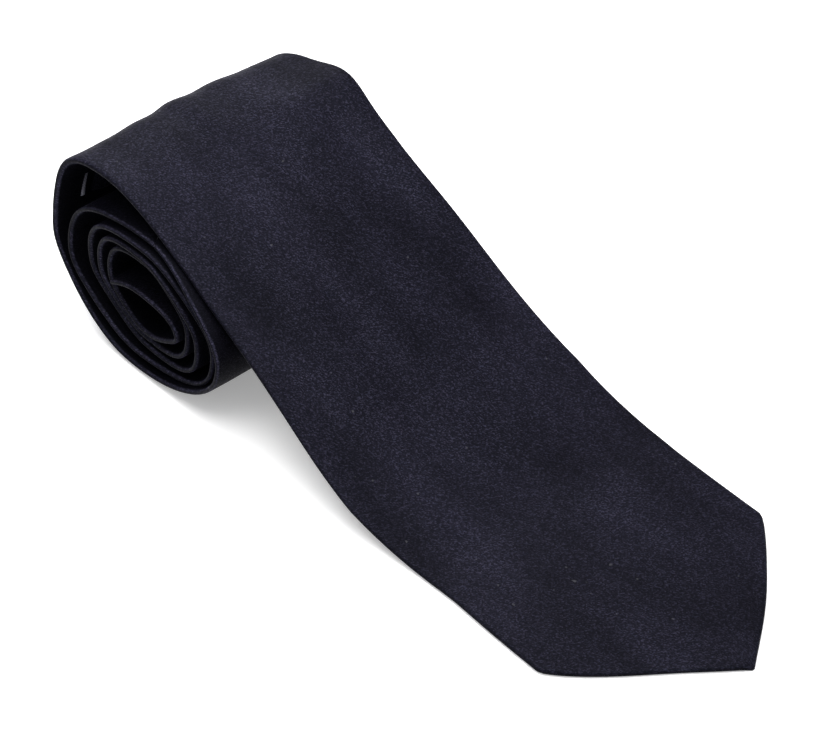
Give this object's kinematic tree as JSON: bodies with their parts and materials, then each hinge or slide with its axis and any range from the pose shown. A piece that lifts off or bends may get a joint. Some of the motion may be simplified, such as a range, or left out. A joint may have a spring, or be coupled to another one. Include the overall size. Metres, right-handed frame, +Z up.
{
  "type": "rolled necktie",
  "caption": "Plain dark satin necktie with a pointed blade, rolled up from its narrow end with the blade laid out flat in front.",
  "frame": {"origin": "on the table under the middle of the whole rolled tie", "axes": "+X along the blade to its point, +Y across the blade, +Z up; the roll's flush end with its visible turns faces -Y"},
  "size_m": [0.2371, 0.0874, 0.0597],
  "materials": {
    "satin": "midnight navy satin weave",
    "lining": "plain woven lining",
    "wool": "brushed wool interlining",
    "thread": "twisted polyester thread"
  },
  "bodies": {
    "roll": {"outer_turn_shell": "satin", "outer_turn_interlining": "wool", "outer_turn_slip_stitch": "thread", "keeper_loop": "satin", "keeper_loop_tacks": "thread", "front_bias_seam": "thread", "neck_shell": "satin", "neck_interlining": "wool", "neck_slip_stitch": "thread", "rear_bias_seam": "thread", "tail_shell": "satin", "tail_interlining": "wool", "tail_slip_stitch": "thread", "tail_tipping": "lining", "tail_bar_tack": "thread"},
    "blade": {"blade_shell": "satin", "blade_interlining": "wool", "blade_tipping": "lining", "blade_bar_tack": "thread", "blade_slip_stitch": "thread"}
  },
  "joints": [
    {"name": "blade_lift", "type": "hinge", "parent": "roll", "child": "blade", "pos_m": [-0.10053, 0.00125, 0.05818], "axis": [-0.0437, -0.9982, 0.0403], "range_deg": [0, 75]}
  ]
}
